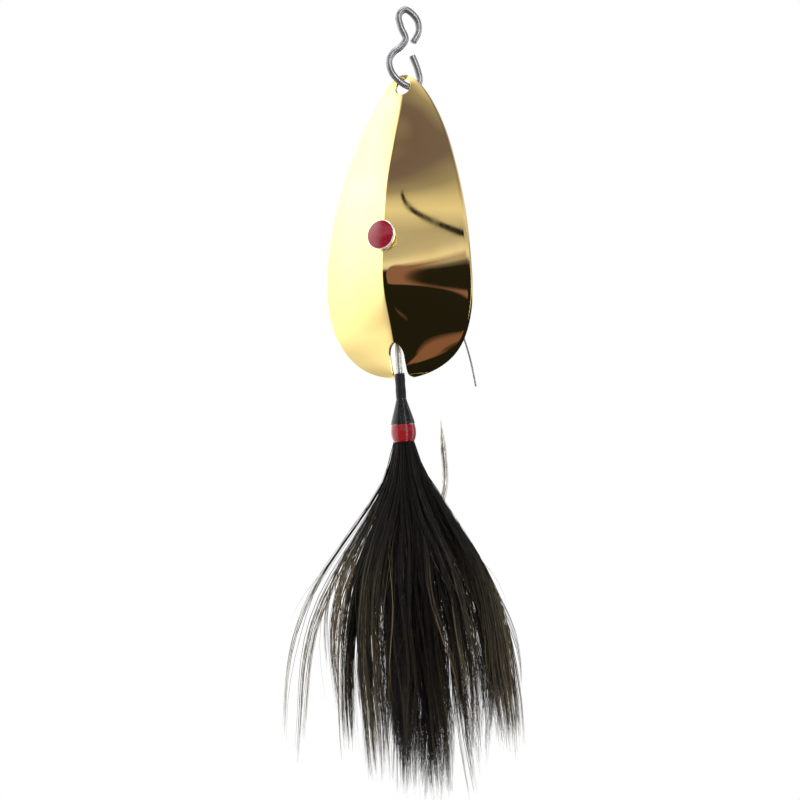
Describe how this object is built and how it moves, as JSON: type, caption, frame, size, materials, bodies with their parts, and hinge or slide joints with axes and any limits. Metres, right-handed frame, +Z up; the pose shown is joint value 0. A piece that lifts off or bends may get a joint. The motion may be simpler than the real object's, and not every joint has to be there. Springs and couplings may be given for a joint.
{
  "type": "casting spoon spinner",
  "caption": "Weedless casting spoon on an open wire link: keeled gold blade, riveted long-shank hook, sprung wire guard and a dark bucktail skirt.",
  "frame": {"origin": "seat of the line inside the top of the wire link's upper eye", "axes": "+Z up along the hanging lure, -Y out of the keel and rivet face, hook point behind on +Y"},
  "size_m": [0.0528, 0.0494, 0.198],
  "materials": {
    "link_wire": "satin",
    "gold_blade": "polished",
    "nickel_rivet": "polished",
    "red_enamel": "gloss",
    "spring_wire": "satin",
    "tinned_hook": "satin",
    "black_thread": "satin",
    "black_lacquer": "gloss",
    "red_thread": "satin",
    "bucktail_hair": "matte"
  },
  "bodies": {
    "link": {"line_link": "link_wire"},
    "blade_body": {"spoon_blade": "gold_blade", "rivet": "nickel_rivet", "rivet_enamel": "red_enamel", "rivet_spacer": "gold_blade", "rivet_burr": "nickel_rivet"},
    "hook_body": {"hook": "tinned_hook", "shank_thread_wrap": "black_thread", "thread_head": "black_lacquer", "red_thread_band": "red_thread", "bucktail_butts": "bucktail_hair"},
    "guard_body": {"weed_guard": "spring_wire"},
    "lock_front": {"bucktail_front": "bucktail_hair"},
    "lock_front_left": {"bucktail_front_left": "bucktail_hair"},
    "lock_front_right": {"bucktail_front_right": "bucktail_hair"},
    "lock_left": {"bucktail_left": "bucktail_hair"},
    "lock_right": {"bucktail_right": "bucktail_hair"},
    "lock_rear_left": {"bucktail_rear_left": "bucktail_hair"},
    "lock_rear_right": {"bucktail_rear_right": "bucktail_hair"},
    "lock_core_left": {"bucktail_core_left": "bucktail_hair"},
    "lock_core_right": {"bucktail_core_right": "bucktail_hair"}
  },
  "joints": [
    {"name": "blade_swing", "type": "hinge", "parent": "link", "child": "blade_body", "pos_m": [0, 0, -0.01745], "axis": [1, 0, 0], "range_deg": [-14, 12]},
    {"name": "hook_play", "type": "hinge", "parent": "blade_body", "child": "hook_body", "pos_m": [0, -0.00451, -0.05878], "axis": [0, 0.9994, 0.0349], "range_deg": [-1.2, 1.2]},
    {"name": "guard_flex", "type": "hinge", "parent": "blade_body", "child": "guard_body", "pos_m": [0, -0.00231, -0.05871], "axis": [1, 0, 0], "range_deg": [-20, 5], "stiffness_Nm_per_rad": 0.04},
    {"name": "front_flare", "type": "hinge", "parent": "hook_body", "child": "lock_front", "pos_m": [0, 0.00183, -0.10752], "axis": [-1, 0, 0], "range_deg": [0, 10], "stiffness_Nm_per_rad": 0.0006},
    {"name": "front_left_flare", "type": "hinge", "parent": "hook_body", "child": "lock_front_left", "pos_m": [-0.00145, 0.00242, -0.10741], "axis": [-0.7071, 0.6968, 0.1204], "range_deg": [0, 10], "stiffness_Nm_per_rad": 0.0006},
    {"name": "front_right_flare", "type": "hinge", "parent": "hook_body", "child": "lock_front_right", "pos_m": [0.00145, 0.00242, -0.10741], "axis": [-0.7071, -0.6968, -0.1204], "range_deg": [0, 10], "stiffness_Nm_per_rad": 0.0006},
    {"name": "left_flare", "type": "hinge", "parent": "hook_body", "child": "lock_left", "pos_m": [-0.00205, 0.00385, -0.10717], "axis": [0, 0.9854, 0.1702], "range_deg": [0, 10], "stiffness_Nm_per_rad": 0.0006},
    {"name": "right_flare", "type": "hinge", "parent": "hook_body", "child": "lock_right", "pos_m": [0.00205, 0.00385, -0.10717], "axis": [0, -0.9854, -0.1702], "range_deg": [0, 10], "stiffness_Nm_per_rad": 0.0006},
    {"name": "rear_left_flare", "type": "hinge", "parent": "hook_body", "child": "lock_rear_left", "pos_m": [-0.00145, 0.00528, -0.10692], "axis": [0.7071, 0.6968, 0.1204], "range_deg": [0, 10], "stiffness_Nm_per_rad": 0.0006},
    {"name": "rear_right_flare", "type": "hinge", "parent": "hook_body", "child": "lock_rear_right", "pos_m": [0.00145, 0.00528, -0.10692], "axis": [0.7071, -0.6968, -0.1204], "range_deg": [0, 10], "stiffness_Nm_per_rad": 0.0006},
    {"name": "core_left_flare", "type": "hinge", "parent": "hook_body", "child": "lock_core_left", "pos_m": [-0.00108, 0.00323, -0.10727], "axis": [-0.5, 0.8534, 0.1474], "range_deg": [0, 3], "stiffness_Nm_per_rad": 0.0006},
    {"name": "core_right_flare", "type": "hinge", "parent": "hook_body", "child": "lock_core_right", "pos_m": [0.00108, 0.00323, -0.10727], "axis": [-0.5, -0.8534, -0.1474], "range_deg": [0, 3], "stiffness_Nm_per_rad": 0.0006}
  ]
}
